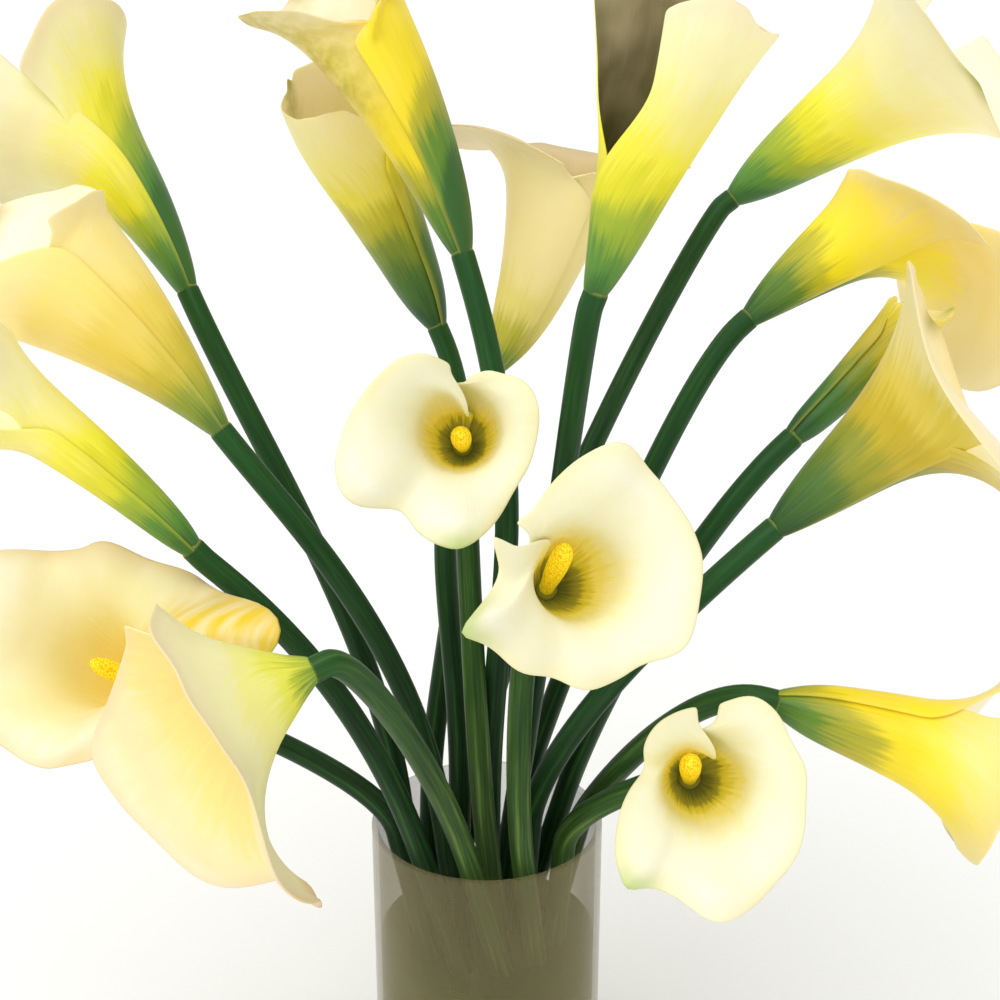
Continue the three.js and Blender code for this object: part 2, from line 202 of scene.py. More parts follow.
# Petal skin: a soft satin with a painted glow, emission that stands in for daylight coming through its
# millimetre of wet tissue, most of all deep in the throat. The colour runs along the sheet in streaks,
# blushes warm in patches and along the rim, is golden or olive in a band where the flower has one, partly
# its own tint and partly painted shade, and fine veins stand a little proud of it.
@dataclass(frozen=True)
class SpatheSkin:
    """Living spathe tissue, with its colours by millimetres from the flower's base."""

    name: str
    outer: Stops
    inner: Stops
    margin: str = "eae43c"
    tip: str = "a8a050"
    gold: str = "eecb22"
    blush: str = "efd9b0"
    blush_share: float = 0.3
    # glow and lit are strengths of the painted glow, emission that stands in for daylight through the
    # tissue: glow deep in the throat on the inside, lit on the rest of the inside and on the whole outside.
    glow: float = 0.28
    glow_span_mm: Pair = (15.0, 75.0)
    lit: float = 0.1
    roughness: float = 0.42
    reach_mm: float = 220.0
    wander_mm: float = 34.0
    blush_span_mm: Pair = (50.0, 110.0)
    patch_span: Pair = (0.45, 0.75)
    mottle_span: Pair = (0.35, 0.6)
    mottle_least: float = 0.5
    streak_mm: float = 2.6
    vein_mm: float = 1.3
    vein_height: float = 0.00025
    # The soft patterns, in waves for each millimetre: streaks drawn out to 45 mm and veins to 83 mm, clouds
    # of 36 mm, blushing patches of 45 mm and mottles of 11 mm.
    streak_draw: float = 0.022
    vein_draw: float = 0.012
    cloud_scale: float = 0.028
    patch_scale: float = 0.022
    mottle_scale: float = 0.09

    @cache
    def faces(self) -> tuple[bpy.types.Material, bpy.types.Material]:
        """Make the outer and the inner skin.

        Returns:
            Their materials.
        """
        return (
            self._skin(f"{self.name} spathe outside", self.outer, self.margin, self.lit),
            self._skin(f"{self.name} spathe inside", self.inner, "", self.glow),
        )

    def _skin(self, name: str, colours: Stops, margin: str, glow: float) -> bpy.types.Material:
        """Make the skin of one face.

        Args:
            name: The material's name.
            colours: Millimetres from the base and the colour there.
            margin: The colour of the two margins of the tube, or nothing for none.
            glow: The strength of the painted glow at the base, emission that stands in for daylight through
                the sheet.

        Returns:
            The material.
        """
        material, tree, output = new_material(name)
        sheet = node(tree, "ShaderNodeUVMap", {"uv_map": "millimetres"})
        parts = node(tree, "ShaderNodeSeparateXYZ", inputs={0: sheet.outputs[0]})
        streaks = node(tree, "ShaderNodeMapping", inputs={
            "Vector": sheet.outputs[0], "Scale": (1 / self.streak_mm, self.streak_draw, 1.0)})
        streak = node(tree, "ShaderNodeTexNoise", inputs={
            "Vector": streaks.outputs[0], "Scale": 1.0, "Detail": 2.0, "Roughness": 0.6})
        cloud = node(tree, "ShaderNodeTexNoise", inputs={
            "Vector": sheet.outputs[0], "Scale": self.cloud_scale, "Detail": 1.0})
        wander = node(tree, "ShaderNodeMath", {"operation": "ADD"}, {
            0: streak.outputs["Fac"], 1: cloud.outputs["Fac"]})
        shifted = node(tree, "ShaderNodeMath", {"operation": "MULTIPLY_ADD"}, {
            0: wander.outputs[0], 1: self.wander_mm, 2: parts.outputs["Y"]})
        place = ranged(tree, shifted.outputs[0], (self.wander_mm, self.wander_mm + self.reach_mm))
        ramp = node(tree, "ShaderNodeValToRGB", inputs={0: place}, stops=tuple(
            (distance / self.reach_mm, code) for distance, code in colours))
        ramp.color_ramp.interpolation = "EASE"
        edge, rim, gilt, beak = (
            node(tree, "ShaderNodeAttribute", {"attribute_name": mark}).outputs["Fac"]
            for mark in SPATHE_MARKS)
        patches = node(tree, "ShaderNodeTexNoise", inputs={
            "Vector": sheet.outputs[0], "Scale": self.patch_scale, "Detail": 2.0, "Roughness": 0.55})
        patch = ranged(tree, patches.outputs["Fac"], self.patch_span, (0.0, self.blush_share))
        warmth = node(tree, "ShaderNodeMath", {"operation": "MULTIPLY_ADD", "use_clamp": True}, {
            0: rim, 1: self.blush_share, 2: patch})
        far = ranged(tree, parts.outputs["Y"], self.blush_span_mm)
        blushed = node(tree, "ShaderNodeMath", {"operation": "MULTIPLY"}, {0: warmth.outputs[0], 1: far})
        mottle = node(tree, "ShaderNodeTexNoise", inputs={
            "Vector": sheet.outputs[0], "Scale": self.mottle_scale, "Detail": 2.0, "Roughness": 0.6})
        mottled = ranged(tree, mottle.outputs["Fac"], self.mottle_span, (self.mottle_least, 1.0))
        # The golden or olive band, mottled: partly the flower's own tint and partly painted shade on one
        # side of the tube.
        golden = node(tree, "ShaderNodeMath", {"operation": "MULTIPLY"}, {0: gilt, 1: mottled})
        tints = [(blushed.outputs[0], self.blush), (golden.outputs[0], self.gold), (beak, self.tip)]
        if margin:
            tints.insert(0, (edge, margin))
        colour = ramp.outputs["Color"]
        for share, tint in tints:
            mixed = node(tree, "ShaderNodeMix", {"data_type": "RGBA"}, {
                "Factor": share, "A": colour, "B": linear(tint)})
            colour = mixed.outputs["Result"]
        veins = node(tree, "ShaderNodeMapping", inputs={
            "Vector": sheet.outputs[0], "Scale": (1 / self.vein_mm, self.vein_draw, 1.0)})
        vein = node(tree, "ShaderNodeTexNoise", inputs={
            "Vector": veins.outputs[0], "Scale": 1.0, "Detail": 1.0, "Roughness": 0.5})
        bump = node(tree, "ShaderNodeBump", inputs={
            "Height": vein.outputs["Fac"], "Strength": 0.55, "Distance": self.vein_height})
        # Painted glow: emission that stands in for daylight coming through the tissue, strongest at the
        # base of the inside.
        painted_glow = ranged(tree, parts.outputs["Y"], self.glow_span_mm, (glow, self.lit), "SMOOTHSTEP")
        skin = node(tree, "ShaderNodeBsdfPrincipled", inputs={
            "Base Color": colour,
            "Roughness": self.roughness,
            "IOR": 1.4,
            "Normal": bump.outputs[0],
            "Emission Color": colour,
            "Emission Strength": painted_glow,
        })
        tree.links.new(skin.outputs[0], output.inputs[0])
        return material


# Flower stalk: smooth waxy green skin, a low gloss, long faint streaks of paler green, a mid green towards
# the flower and a yellow-green crown where it becomes the flower.
@dataclass(frozen=True)
class StemSkin:
    """Waxy skin of a flower stalk."""

    name: str
    deep: str
    middle: str
    pale: str
    upper_tint: str = "285a2a"
    crown: str = "c9c65a"
    streak_mm: float = 3.0
    streak_draw: float = 0.012

    @cache
    def material(self) -> bpy.types.Material:
        """Make the stalk's skin.

        Returns:
            The material.
        """
        material, tree, output = new_material(f"{self.name} stalk")
        sheet = node(tree, "ShaderNodeUVMap", {"uv_map": "millimetres"})
        streaks = node(tree, "ShaderNodeMapping", inputs={
            "Vector": sheet.outputs[0], "Scale": (1 / self.streak_mm, self.streak_draw, 1.0)})
        streak = node(tree, "ShaderNodeTexNoise", inputs={
            "Vector": streaks.outputs[0], "Scale": 1.0, "Detail": 2.0, "Roughness": 0.62})
        ramp = node(tree, "ShaderNodeValToRGB", inputs={0: streak.outputs["Fac"]}, stops=(
            (0.3, self.deep), (0.52, self.middle), (0.74, self.pale)))
        colour = ramp.outputs["Color"]
        for mark, tint in zip(STEM_MARKS, (self.upper_tint, self.crown)):
            share = node(tree, "ShaderNodeAttribute", {"attribute_name": mark})
            mixed = node(tree, "ShaderNodeMix", {"data_type": "RGBA"}, {
                "Factor": share.outputs["Fac"], "A": colour, "B": linear(tint)})
            colour = mixed.outputs["Result"]
        bump = node(tree, "ShaderNodeBump", inputs={
            "Height": streak.outputs["Fac"], "Strength": 0.5, "Distance": 0.0004})
        skin = node(tree, "ShaderNodeBsdfPrincipled", inputs={
            "Base Color": colour,
            "Roughness": 0.42,
            "IOR": 1.42,
            "Specular IOR Level": 0.22,
            "Normal": bump.outputs[0],
        })
        tree.links.new(skin.outputs[0], output.inputs[0])
        return material


# Spadix: hundreds of tiny florets dusted with pollen, so a dry, powdery yellow, with painted shade that
# makes it deeper in the pits between the florets, and a painted glow, emission that stands in for the light
# that the spathe lets through.
@dataclass(frozen=True)
class PollenSkin:
    """Pollen-covered florets."""

    pit_shade: str = "e0ac00"
    floret: str = "ffe212"
    dust: str = "fff45e"
    glow: float = 0.28
    floret_mm: float = 1.5

    @cache
    def material(self) -> bpy.types.Material:
        """Make the florets' finish.

        Returns:
            The material.
        """
        material, tree, output = new_material("pollen on florets")
        place = node(tree, "ShaderNodeTexCoord")
        floret = node(tree, "ShaderNodeTexVoronoi", inputs={
            "Vector": place.outputs["Object"], "Scale": 1 / (self.floret_mm * MM), "Randomness": 0.6})
        ramp = node(tree, "ShaderNodeValToRGB", inputs={0: floret.outputs["Distance"]}, stops=(
            (0.15, self.dust), (0.45, self.floret), (0.8, self.pit_shade)))
        bump = node(tree, "ShaderNodeBump", {"invert": True}, {
            "Height": floret.outputs["Distance"], "Strength": 0.8, "Distance": 0.0006})
        skin = node(tree, "ShaderNodeBsdfPrincipled", inputs={
            "Base Color": ramp.outputs["Color"],
            "Roughness": 0.7,
            "Normal": bump.outputs[0],
            "Emission Color": ramp.outputs["Color"],
            "Emission Strength": self.glow,
        })
        tree.links.new(skin.outputs[0], output.inputs[0])
        return material


# Soda glass that is clouded by lime and by standing water: grey where it is seen edge on, and clear enough
# in the middle to show the stems.
@dataclass(frozen=True)
class CloudyGlass:
    """Grey-beige soda glass with a bloom of lime on it."""

    tint: str = "928860"
    clear: float = 0.16
    edge: float = 0.68
    slant_span: Pair = (0.15, 1.1)
    bloom_scale: float = 16.0

    @cache
    def material(self) -> bpy.types.Material:
        """Make the glass.

        Returns:
            The material.
        """
        material, tree, output = new_material("cloudy soda glass")
        place = node(tree, "ShaderNodeTexCoord")
        bloom = node(tree, "ShaderNodeTexNoise", inputs={
            "Vector": place.outputs["Object"], "Scale": self.bloom_scale, "Detail": 3.0})
        slant = node(tree, "ShaderNodeLayerWeight", inputs={"Blend": 0.35})
        wander = node(tree, "ShaderNodeMath", {"operation": "MULTIPLY_ADD"}, {
            0: bloom.outputs["Fac"], 1: 0.3, 2: slant.outputs["Facing"]})
        cover = ranged(tree, wander.outputs[0], self.slant_span, (self.clear, self.edge))
        skin = node(tree, "ShaderNodeBsdfPrincipled", inputs={
            "Base Color": linear(self.tint),
            "Roughness": 0.12,
            "IOR": 1.5,
            "Specular IOR Level": 0.35,
            "Alpha": cover,
        })
        tree.links.new(skin.outputs[0], output.inputs[0])
        return material


# Vase water: the olive green that stems give it, and hardly a gleam, since it is seen through the glass.
@dataclass(frozen=True)
class StemWater:
    """Water that stems have stood in."""

    tint: str = "2a5000"
    cover: float = 0.88
    ripple_scale: float = 30.0

    @cache
    def material(self) -> bpy.types.Material:
        """Make the water.

        Returns:
            The material.
        """
        material, tree, output = new_material("vase water")
        place = node(tree, "ShaderNodeTexCoord")
        ripple = node(tree, "ShaderNodeTexNoise", inputs={
            "Vector": place.outputs["Object"], "Scale": self.ripple_scale, "Detail": 1.0})
        bump = node(tree, "ShaderNodeBump", inputs={
            "Height": ripple.outputs["Fac"], "Strength": 0.15, "Distance": 0.001})
        skin = node(tree, "ShaderNodeBsdfPrincipled", inputs={
            "Base Color": linear(self.tint),
            "Roughness": 0.06,
            "IOR": 1.33,
            "Specular IOR Level": 0.1,
            "Alpha": self.cover,
            "Normal": bump.outputs[0],
        })
        tree.links.new(skin.outputs[0], output.inputs[0])
        return material


# Floor: matt white paint, so pale that it takes only the softest shadow.
@dataclass(frozen=True)
class FloorPaint:
    """Matt studio paint."""

    colour: str = "fcfcfa"

    def material(self) -> bpy.types.Material:
        """Make the paint.

        Returns:
            The material.
        """
        material, tree, output = new_material("matt floor paint")
        skin = node(tree, "ShaderNodeBsdfPrincipled", inputs={
            "Base Color": linear(self.colour), "Roughness": 0.9})
        tree.links.new(skin.outputs[0], output.inputs[0])
        return material


FRESH = SpatheSkin(
    name="fresh",
    outer=((0, "3a6a30"), (20, "5a8a36"), (42, "9cb030"), (66, "dcd626"), (84, "efe53a"), (108, "f1e87c"),
           (140, "f4edac"), (175, "f7f2c8")),
    inner=((0, "c0b238"), (45, "dccc44"), (85, "f2ea88"), (120, "f7f3c0"), (170, "faf7d8")),
    tip="a8b058",
    gold="b4a838",
    lit=0.08,
)
# A shaded copy of FRESH, painted shade: no painted glow on the outside and a stronger, darker beige blush.
SHADED_FRESH = replace(FRESH, name="shaded fresh", blush="ecd6a4", blush_share=0.5, lit=0.0)
# Fresh outside; the dark khaki inside, with no painted glow, is painted shade.
DARK_SHADE_LINED = SpatheSkin(
    name="khaki-lined",
    outer=FRESH.outer,
    inner=((0, "3a3618"), (60, "4e481f"), (105, "6c643c"), (170, "92875e")),
    tip="a8b058",
    glow=0.0,
)
GOLDEN = SpatheSkin(
    name="golden",
    outer=((0, "345f2a"), (22, "5f842c"), (44, "b0a82a"), (68, "ecd41e"), (100, "f6de30"), (135, "f4e07c"),
           (180, "f3e6b4")),
    inner=((0, "b8a43a"), (45, "dcc850"), (85, "f0e294"), (120, "f4ecbc"), (170, "f6efd2")),
    margin="e8d034",
)
OCHRE = SpatheSkin(
    name="ochre",
    outer=((0, "284e24"), (30, "4a6e28"), (58, "8c9028"), (84, "c4ac28"), (108, "dcc648"), (136, "eedf92"),
           (180, "f6edc6")),
    inner=((0, "b09c44"), (45, "d0ba54"), (85, "ead886"), (120, "f2e6ac"), (170, "f6ecc8")),
    margin="e8d860",
    blush="f0d27c",
    lit=0.08,
)
# A copy of GOLDEN with painted light and shade: a darker tan limb outside, painted shade, and a paler
# inside with a strong painted glow on both faces, painted light.
GOLDEN_LIT_AND_SHADED = replace(
    GOLDEN,
    name="burnished",
    outer=((0, "2c5526"), (24, "5a7c2a"), (46, "b8b026"), (66, "ead81c"), (90, "eed440"), (118, "e4ca74"),
           (180, "e4d49a")),
    inner=((0, "b8a43a"), (45, "dcc850"), (85, "f0e294"), (120, "f6f0c6"), (170, "f9f5de")),
    blush="f2e4b4",
    lit=0.22,
)
# OCHRE with more lemon colours and, as painted light, a stronger painted glow on both faces.
SUNLIT_OCHRE = replace(
    OCHRE,
    name="sunlit ochre",
    outer=((0, "284e24"), (30, "44692a"), (60, "7a8a2a"), (86, "b8b02a"), (108, "e2d436"), (136, "ecdf80"),
           (180, "f0e4b0")),
    gold="a8a038",
    blush="efe0a0",
    glow=0.3,
    lit=0.12,
)
OLIVE_GOLD = replace(GOLDEN, name="olive gold", gold="c4b034")
BEIGE = SpatheSkin(
    name="beige",
    outer=((0, "5a7a30"), (20, "94a038"), (45, "d0bc40"), (75, "ecd25a"), (110, "f8e27e"), (160, "fbe9a0"),
           (210, "fcf2c4")),
    inner=((0, "e0cc70"), (45, "f0e090"), (80, "f6eab0"), (115, "faf2c8"), (160, "fcf6d6")),
    margin="f0dc6c",
    tip="c0ae68",
)
HONEY = SpatheSkin(
    name="honey",
    outer=BEIGE.outer,
    inner=((0, "ecd860"), (24, "f2e284"), (45, "f6eaa4"), (75, "f8edb0"), (105, "f9efbc"), (150, "fbf6dc")),
    margin="f0dc6c",
    tip="e0c878",
    blush="ecd29a",
    blush_share=0.6,
    glow=0.15,
    lit=0.0,
)
CREAM = SpatheSkin(
    name="cream",
    outer=((0, "7c9a38"), (7, "b8c43a"), (18, "e8e650"), (38, "f6f08e"), (60, "f8f2b4"), (100, "f9eebc")),
    inner=((0, "c8ac50"), (35, "e0c478"), (60, "f2da84"), (85, "f6e28a"), (115, "f8eab0"), (150, "faf0c8")),
    margin="f4e8a4",
    tip="d8b48c",
    blush="efd2a0",
    blush_share=0.5,
    glow=0.1,
    lit=0.02,
)
# Beige outside; the dull beige inside, with no painted glow, is painted shade.
BEIGE_SHADE_LINED = SpatheSkin(
    name="dusky",
    outer=((0, "6f8c34"), (18, "bcb43c"), (40, "e8d878"), (75, "f6e4a0"), (130, "f6e6aa"), (180, "e0cc92")),
    inner=((0, "94863a"), (90, "b09a5c"), (130, "baa468"), (180, "c6b07c")),
    margin="f0dc90",
    tip="a89c58",
    glow=0.0,
)
IVORY = SpatheSkin(
    name="ivory",
    outer=((0, "3c6a2c"), (24, "86a038"), (48, "dcda70"), (80, "f2eebe"), (150, "f8f5e0")),
    # The dark olive at the base of the inside is partly the throat's own yellow-green and partly painted
    # shade deep in the throat.
    inner=((0, "5e6026"), (18, "8e8a30"), (32, "d6c83c"), (46, "eee27e"), (64, "f4ecb2"), (90, "f5f1d0"),
           (150, "f6f4e0")),
    margin="ecec9c",
    tip="bcd080",
    blush="f2e6a4",
    blush_share=0.45,
    lit=0.0,
)
GREEN_BUD = SpatheSkin(
    name="green bud",
    outer=((0, "28542a"), (30, "3f6f30"), (52, "7d8c30"), (74, "bcac2c"), (105, "e6d234")),
    inner=((0, "94863a"), (60, "b9ac40"), (120, "e6dc98")),
    margin="c8bc38",
    tip="b0aa48",
)

# Two copies of one stalk skin: darker for the stalks in the shade inside the bunch, painted shade, and
# paler olive for the stalks in front that the light falls on, painted light.
SHADED_STEM = StemSkin(name="deep green", deep="0a1d0d", middle="1a3a19", pale="365f2b")
LIT_STEM = StemSkin(name="olive green", deep="1a3010", middle="35521f", pale="657e38")


@dataclass(frozen=True)
class Flower:
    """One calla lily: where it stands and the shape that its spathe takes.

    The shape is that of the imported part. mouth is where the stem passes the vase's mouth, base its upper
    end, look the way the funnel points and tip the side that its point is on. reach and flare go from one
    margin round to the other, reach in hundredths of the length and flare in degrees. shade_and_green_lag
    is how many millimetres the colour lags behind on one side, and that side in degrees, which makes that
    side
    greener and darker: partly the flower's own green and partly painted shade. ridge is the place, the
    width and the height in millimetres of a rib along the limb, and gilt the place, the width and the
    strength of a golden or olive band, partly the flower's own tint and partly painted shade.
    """

    name: str
    mouth: Pair
    base: Triple
    look: Triple
    tip: Triple
    length: float
    bulb: float
    cone: float
    open: float
    reach: tuple[float, ...]
    flare: tuple[float, ...]
    beak: float
    part: float
    rise: float
    neck: float
    wave: float = 3.0
    waves: int = 3
    point: float = 0.0
    curl: float = 0.0
    bend: Pair = (0.0, 0.0)
    lean: Pair = (0.0, 0.0)
    phase: float = 0.0
    roll: Roll = Roll.RIGHT_OVER
    skin: SpatheSkin = FRESH
    stalk: StemSkin = SHADED_STEM
    shade_and_green_lag: Pair = (0.0, 0.0)
    ridge: Triple = (0.0, 1.0, 0.0)
    gilt: Triple = (0.0, 1.0, 0.0)

    def axes(self) -> tuple[Vector, Vector, Vector]:
        """Give the funnel's own axes.

        Returns:
            The ways along it, towards its point and square to both.
        """
        along = Vector(self.look).normalized()
        tip = Vector(self.tip)
        tip = (tip - along * tip.dot(along)).normalized()
        return along, tip, along.cross(tip)

    def place(self, out: float, aside: float, height: float) -> Vector:
        """Put a point into the part's frame, with the funnel's axis bent into an arc.

        Args:
            out: Millimetres from the axis towards the tip.
            aside: Millimetres from the axis towards the side.
            height: Millimetres along the axis from the base.

        Returns:
            The point in metres.
        """
        along, tip, side = self.axes()
        across = tip * out + side * aside
        whole = math.radians(math.hypot(*self.bend))
        if whole == 0 or height <= 0:
            return (Vector(self.base) + across + along * height) * MM
        towards = (tip * self.bend[0] + side * self.bend[1]) / math.hypot(*self.bend)
        turn = whole * height / self.length
        arc = self.length / whole
        reach = across.dot(towards)
        moved = across + towards * (reach * (math.cos(turn) - 1) + arc * (1 - math.cos(turn)))
        return (Vector(self.base) + moved + along * (arc - reach) * math.sin(turn)) * MM


# Most numbers of the flowers were not chosen by hand: scratch programs fitted them to outlines read off
# the photograph, and report.md lists which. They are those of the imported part.
EVEN = (70, 84, 93, 98, 100, 98, 93, 84, 70)
TRUMPET = (80, 85, 90, 92, 90, 92, 90, 85, 80)

FLOWERS: tuple[Flower, ...] = (
    Flower(
        name="01", mouth=(-56.8, 19.1), base=(-189.6, 90, 581.3), look=(-71, 68, 138), tip=(0, 1, -0.3),
        length=210, bulb=13, cone=10.4, open=0.38, reach=(77, 89, 93, 92, 88, 84, 82, 85, 96),
        flare=(50, 45, 57, 37, 44, 60, 68, 62, 42), beak=0.04, part=-1, bend=(24, 33), rise=116, neck=97,
        skin=SHADED_FRESH, shade_and_green_lag=(60, -90), gilt=(0.05, 0.25, 0.6),
    ),
    Flower(
        name="02", mouth=(-28.1, -9.1), base=(-158.9, -1.2, 518.9), look=(-89, 28, 111),
        tip=(0.35, 1, -0.69), length=219.3, bulb=15, cone=17.4, open=0.57,
        reach=(67, 67, 68, 81, 99, 95, 86, 89, 91), flare=(57, 55, 46, 40, 21, 46, 40, 32, 39), beak=0.03,
        part=60, bend=(4, 27), wave=4, phase=1, rise=128, neck=65,
        skin=BEIGE, gilt=(0.4, 0.15, 0.7),
    ),
    Flower(
        name="03", mouth=(-41, -44.1), base=(-169.9, -57.8, 466.2), look=(-88, -5, 104),
        tip=(0.02, 1, 0.07), length=175.3, bulb=12, cone=5.3, open=0.55,
        reach=(77, 84, 91, 90, 88, 83, 83, 82, 77), flare=(39, 30, 31, 35, 51, 65, 80, 77, 74), beak=0.02,
        part=20, bend=(7, 20), phase=2, rise=141, neck=15,
        skin=FRESH, gilt=(0.5, 0.16, 0.7),
    ),
    Flower(
        name="04", mouth=(-10, -59), base=(-91.1, -168.5, 440.8), look=(-90.1, -45.9, -27.9),
        tip=(59.5, -37, -89.2), length=126.3, bulb=33.5, cone=34.2, open=0.16,
        reach=(77, 78, 84, 97, 115, 115, 114, 114, 98, 86, 84, 98, 100, 91, 81, 81, 80, 77, 84, 76, 70),
        flare=(54, 44, 53, 103, 130, 94, 83, 63, 56), beak=0.22, part=45.1, wave=4, rise=80, neck=18,
        bend=(-7.9, 0.9),
        skin=CREAM, stalk=LIT_STEM, ridge=(-0.16, 0.05, 3),
    ),
    Flower(
        name="05", mouth=(-58, -15), base=(-209, 15, 334), look=(-31, -75, 65), tip=(-1, 0, 0.32),
        length=175, bulb=30, cone=12, open=0.4,
        reach=(95, 142, 100, 86, 77, 78, 74, 77, 87, 96, 104, 90, 81, 80, 78, 80, 82, 88, 90, 90, 85),
        flare=(115, 119, 78, 91, 90, 85, 79, 85, 87), beak=0.05, part=-19.5, lean=(6.7, -0.2), wave=5,
        waves=5, rise=40, neck=40,
        skin=HONEY, shade_and_green_lag=(35, -120), gilt=(-0.88, 0.09, 1),
    ),
    Flower(
        name="06", mouth=(1.4, 0.3), base=(-15, 60, 612), look=(-54, 67, 168), tip=(-0.3, 1, 0), length=205,
        bulb=19, cone=8.7, open=0.68, reach=(70, 84, 93, 98, 100, 100, 100, 90, 72),
        flare=(45, 35, 28, 30, 35, 40, 40, 42, 48), beak=0.03, part=30, bend=(0, 24), roll=Roll.LEFT_OVER,
        rise=160, neck=160,
        skin=OLIVE_GOLD, shade_and_green_lag=(50, -115), gilt=(0.42, 0.34, 1),
    ),
    Flower(
        name="07", mouth=(-38.2, 47.2), base=(-35.6, 174.7, 535.2), look=(-73, 41, 166),
        tip=(-1, 0.58, 0.1), length=185.5, bulb=27, cone=8.1, open=0.62,
        reach=(81, 91, 100, 103, 100, 99, 95, 92, 81), flare=(-20, -29, -22, -20, -30, -15, -9, -6, -15),
        beak=0.05, part=6, bend=(-12, 29), wave=1, waves=2, roll=Roll.LEFT_OVER, rise=82, neck=95,
        skin=SUNLIT_OCHRE, shade_and_green_lag=(30, -110), gilt=(0.05, 0.14, 0.7),
    ),
    Flower(
        name="08", mouth=(-18.3, 24), base=(6.5, 115.9, 523.3), look=(71, 50, 120), tip=(0, 1, 0),
        length=208.1, bulb=27, cone=10.7, open=0.55, reach=EVEN,
        flare=(120, 115, 110, 110, 100, 110, 115, 120, 120), beak=0.04, part=20, bend=(5, 30), waves=2,
        rise=136, neck=109,
        skin=BEIGE_SHADE_LINED,
    ),
    Flower(
        name="09", mouth=(0, -30), base=(-14, 8, 504), look=(0, -90, 43), tip=(0, -43, -90), length=150,
        bulb=30, cone=10, open=0.5,
        reach=(64, 72, 77, 79, 83, 90, 98, 99, 83, 91, 94, 86, 75, 71, 70, 71, 72, 72, 67, 63, 56),
        flare=TRUMPET, beak=0.02, part=16, curl=0.5, wave=2, rise=80, neck=60,
        skin=IVORY, stalk=LIT_STEM,
    ),
    Flower(
        name="10", mouth=(19, 24.2), base=(63, -29.4, 610), look=(44, -4, 124), tip=(1, 0.69, -0.27),
        length=186.2, bulb=14, cone=12.6, open=0.2, reach=(86, 94, 87, 85, 87, 93, 95, 95, 92),
        flare=(9, 17, 18, 33, 0, 9, 1, -5, 12), beak=0.02, part=91, bend=(-11, 10), roll=Roll.LEFT_OVER,
        rise=160, neck=15,
        skin=DARK_SHADE_LINED,
    ),
    Flower(
        name="11", mouth=(23, -55), base=(34, -100, 458), look=(20, -84, 47), tip=(80, 20, -60), length=150,
        bulb=30, cone=11, open=0.45,
        reach=(77, 66, 66, 76, 84, 79, 82, 78, 75, 82, 81, 80, 80, 79, 79, 82, 89, 81, 72, 64, 67),
        flare=TRUMPET, beak=0.36, point=-0.75, part=16, lean=(-9.4, 10.8), wave=1, waves=5, rise=80,
        neck=50,
        skin=IVORY, stalk=LIT_STEM,
    ),
    Flower(
        name="12", mouth=(-8, 60), base=(170, 205.3, 617), look=(119, 10, 92), tip=(-0.32, -1, -0.27),
        length=214.2, bulb=26, cone=11.2, open=0.44, reach=(87, 83, 91, 97, 101, 96, 99, 95, 93),
        flare=(62, 63, 66, 72, 62, 51, 59, 46, 55), beak=0.04, part=32, bend=(28, 2), wave=4, rise=143,
        neck=15,
        skin=FRESH, shade_and_green_lag=(25, 90),
    ),
    Flower(
        name="13", mouth=(27, 53.8), base=(167, 80, 565.8), look=(90, 21, 79), tip=(0.39, 1, 0.75),
        length=205, bulb=17, cone=12.1, open=0.3, reach=(112, 101, 96, 82, 64, 54, 50, 60, 76),
        flare=(135, 137, 112, 54, 32, 34, 71, 91, 102), beak=0, part=2, bend=(13, -40), phase=1, rise=66,
        neck=53,
        skin=GOLDEN_LIT_AND_SHADED, shade_and_green_lag=(45, -90),
    ),
    Flower(
        name="14", mouth=(51.8, 31.1), base=(190.5, 29.9, 503.6), look=(93, 30, 81), tip=(1, 0.39, 0.06),
        length=115.2, bulb=12, cone=4.6, open=0.66, reach=(87, 89, 92, 99, 103, 97, 89, 88, 89),
        flare=(12, 7, 6, 11, 10, 15, 12, 15, 14), beak=0.05, part=-13, bend=(-8, 0), wave=1, waves=2,
        rise=108, neck=52,
        skin=GREEN_BUD,
    ),
    Flower(
        name="15", mouth=(28, -9.1), base=(167.3, -60, 479.5), look=(101, 24, 85), tip=(-0.18, 1, 0.21),
        length=205, bulb=20, cone=12, open=0.29, reach=(83, 85, 88, 83, 79, 79, 80, 81, 90),
        flare=(137, 129, 95, 79, 46, 40, 75, 110, 132), beak=0, part=17, bend=(-6, -5), wave=5, rise=38,
        neck=139,
        skin=OCHRE, shade_and_green_lag=(30, -90),
    ),
    Flower(
        name="16", mouth=(49, -34), base=(115, -125, 353), look=(1, -87, 46), tip=(0, -40, -75), length=140,
        bulb=30, cone=11, open=0.45,
        reach=(66, 66, 66, 62, 56, 64, 75, 84, 80, 84, 94, 89, 84, 80, 77, 74, 74, 74, 76, 76, 67),
        flare=TRUMPET, beak=0.14, point=-0.24, part=16, curl=0.3, lean=(-10.7, -6), rise=40, neck=40,
        skin=IVORY, stalk=LIT_STEM,
    ),
    Flower(
        name="17", mouth=(60.6, -2.1), base=(166, -110, 392), look=(99, -10, -22), tip=(20, 0, -100),
        length=165, bulb=30, cone=9, open=0.45, reach=(80, 85, 86, 84, 80, 84, 86, 85, 80),
        flare=(60, 70, 75, 60, 50, 60, 75, 70, 60), beak=0.06, part=30, bend=(12, 0), wave=4, rise=10,
        neck=49,
        skin=GOLDEN, stalk=LIT_STEM, shade_and_green_lag=(-30, 180),
    ),
)


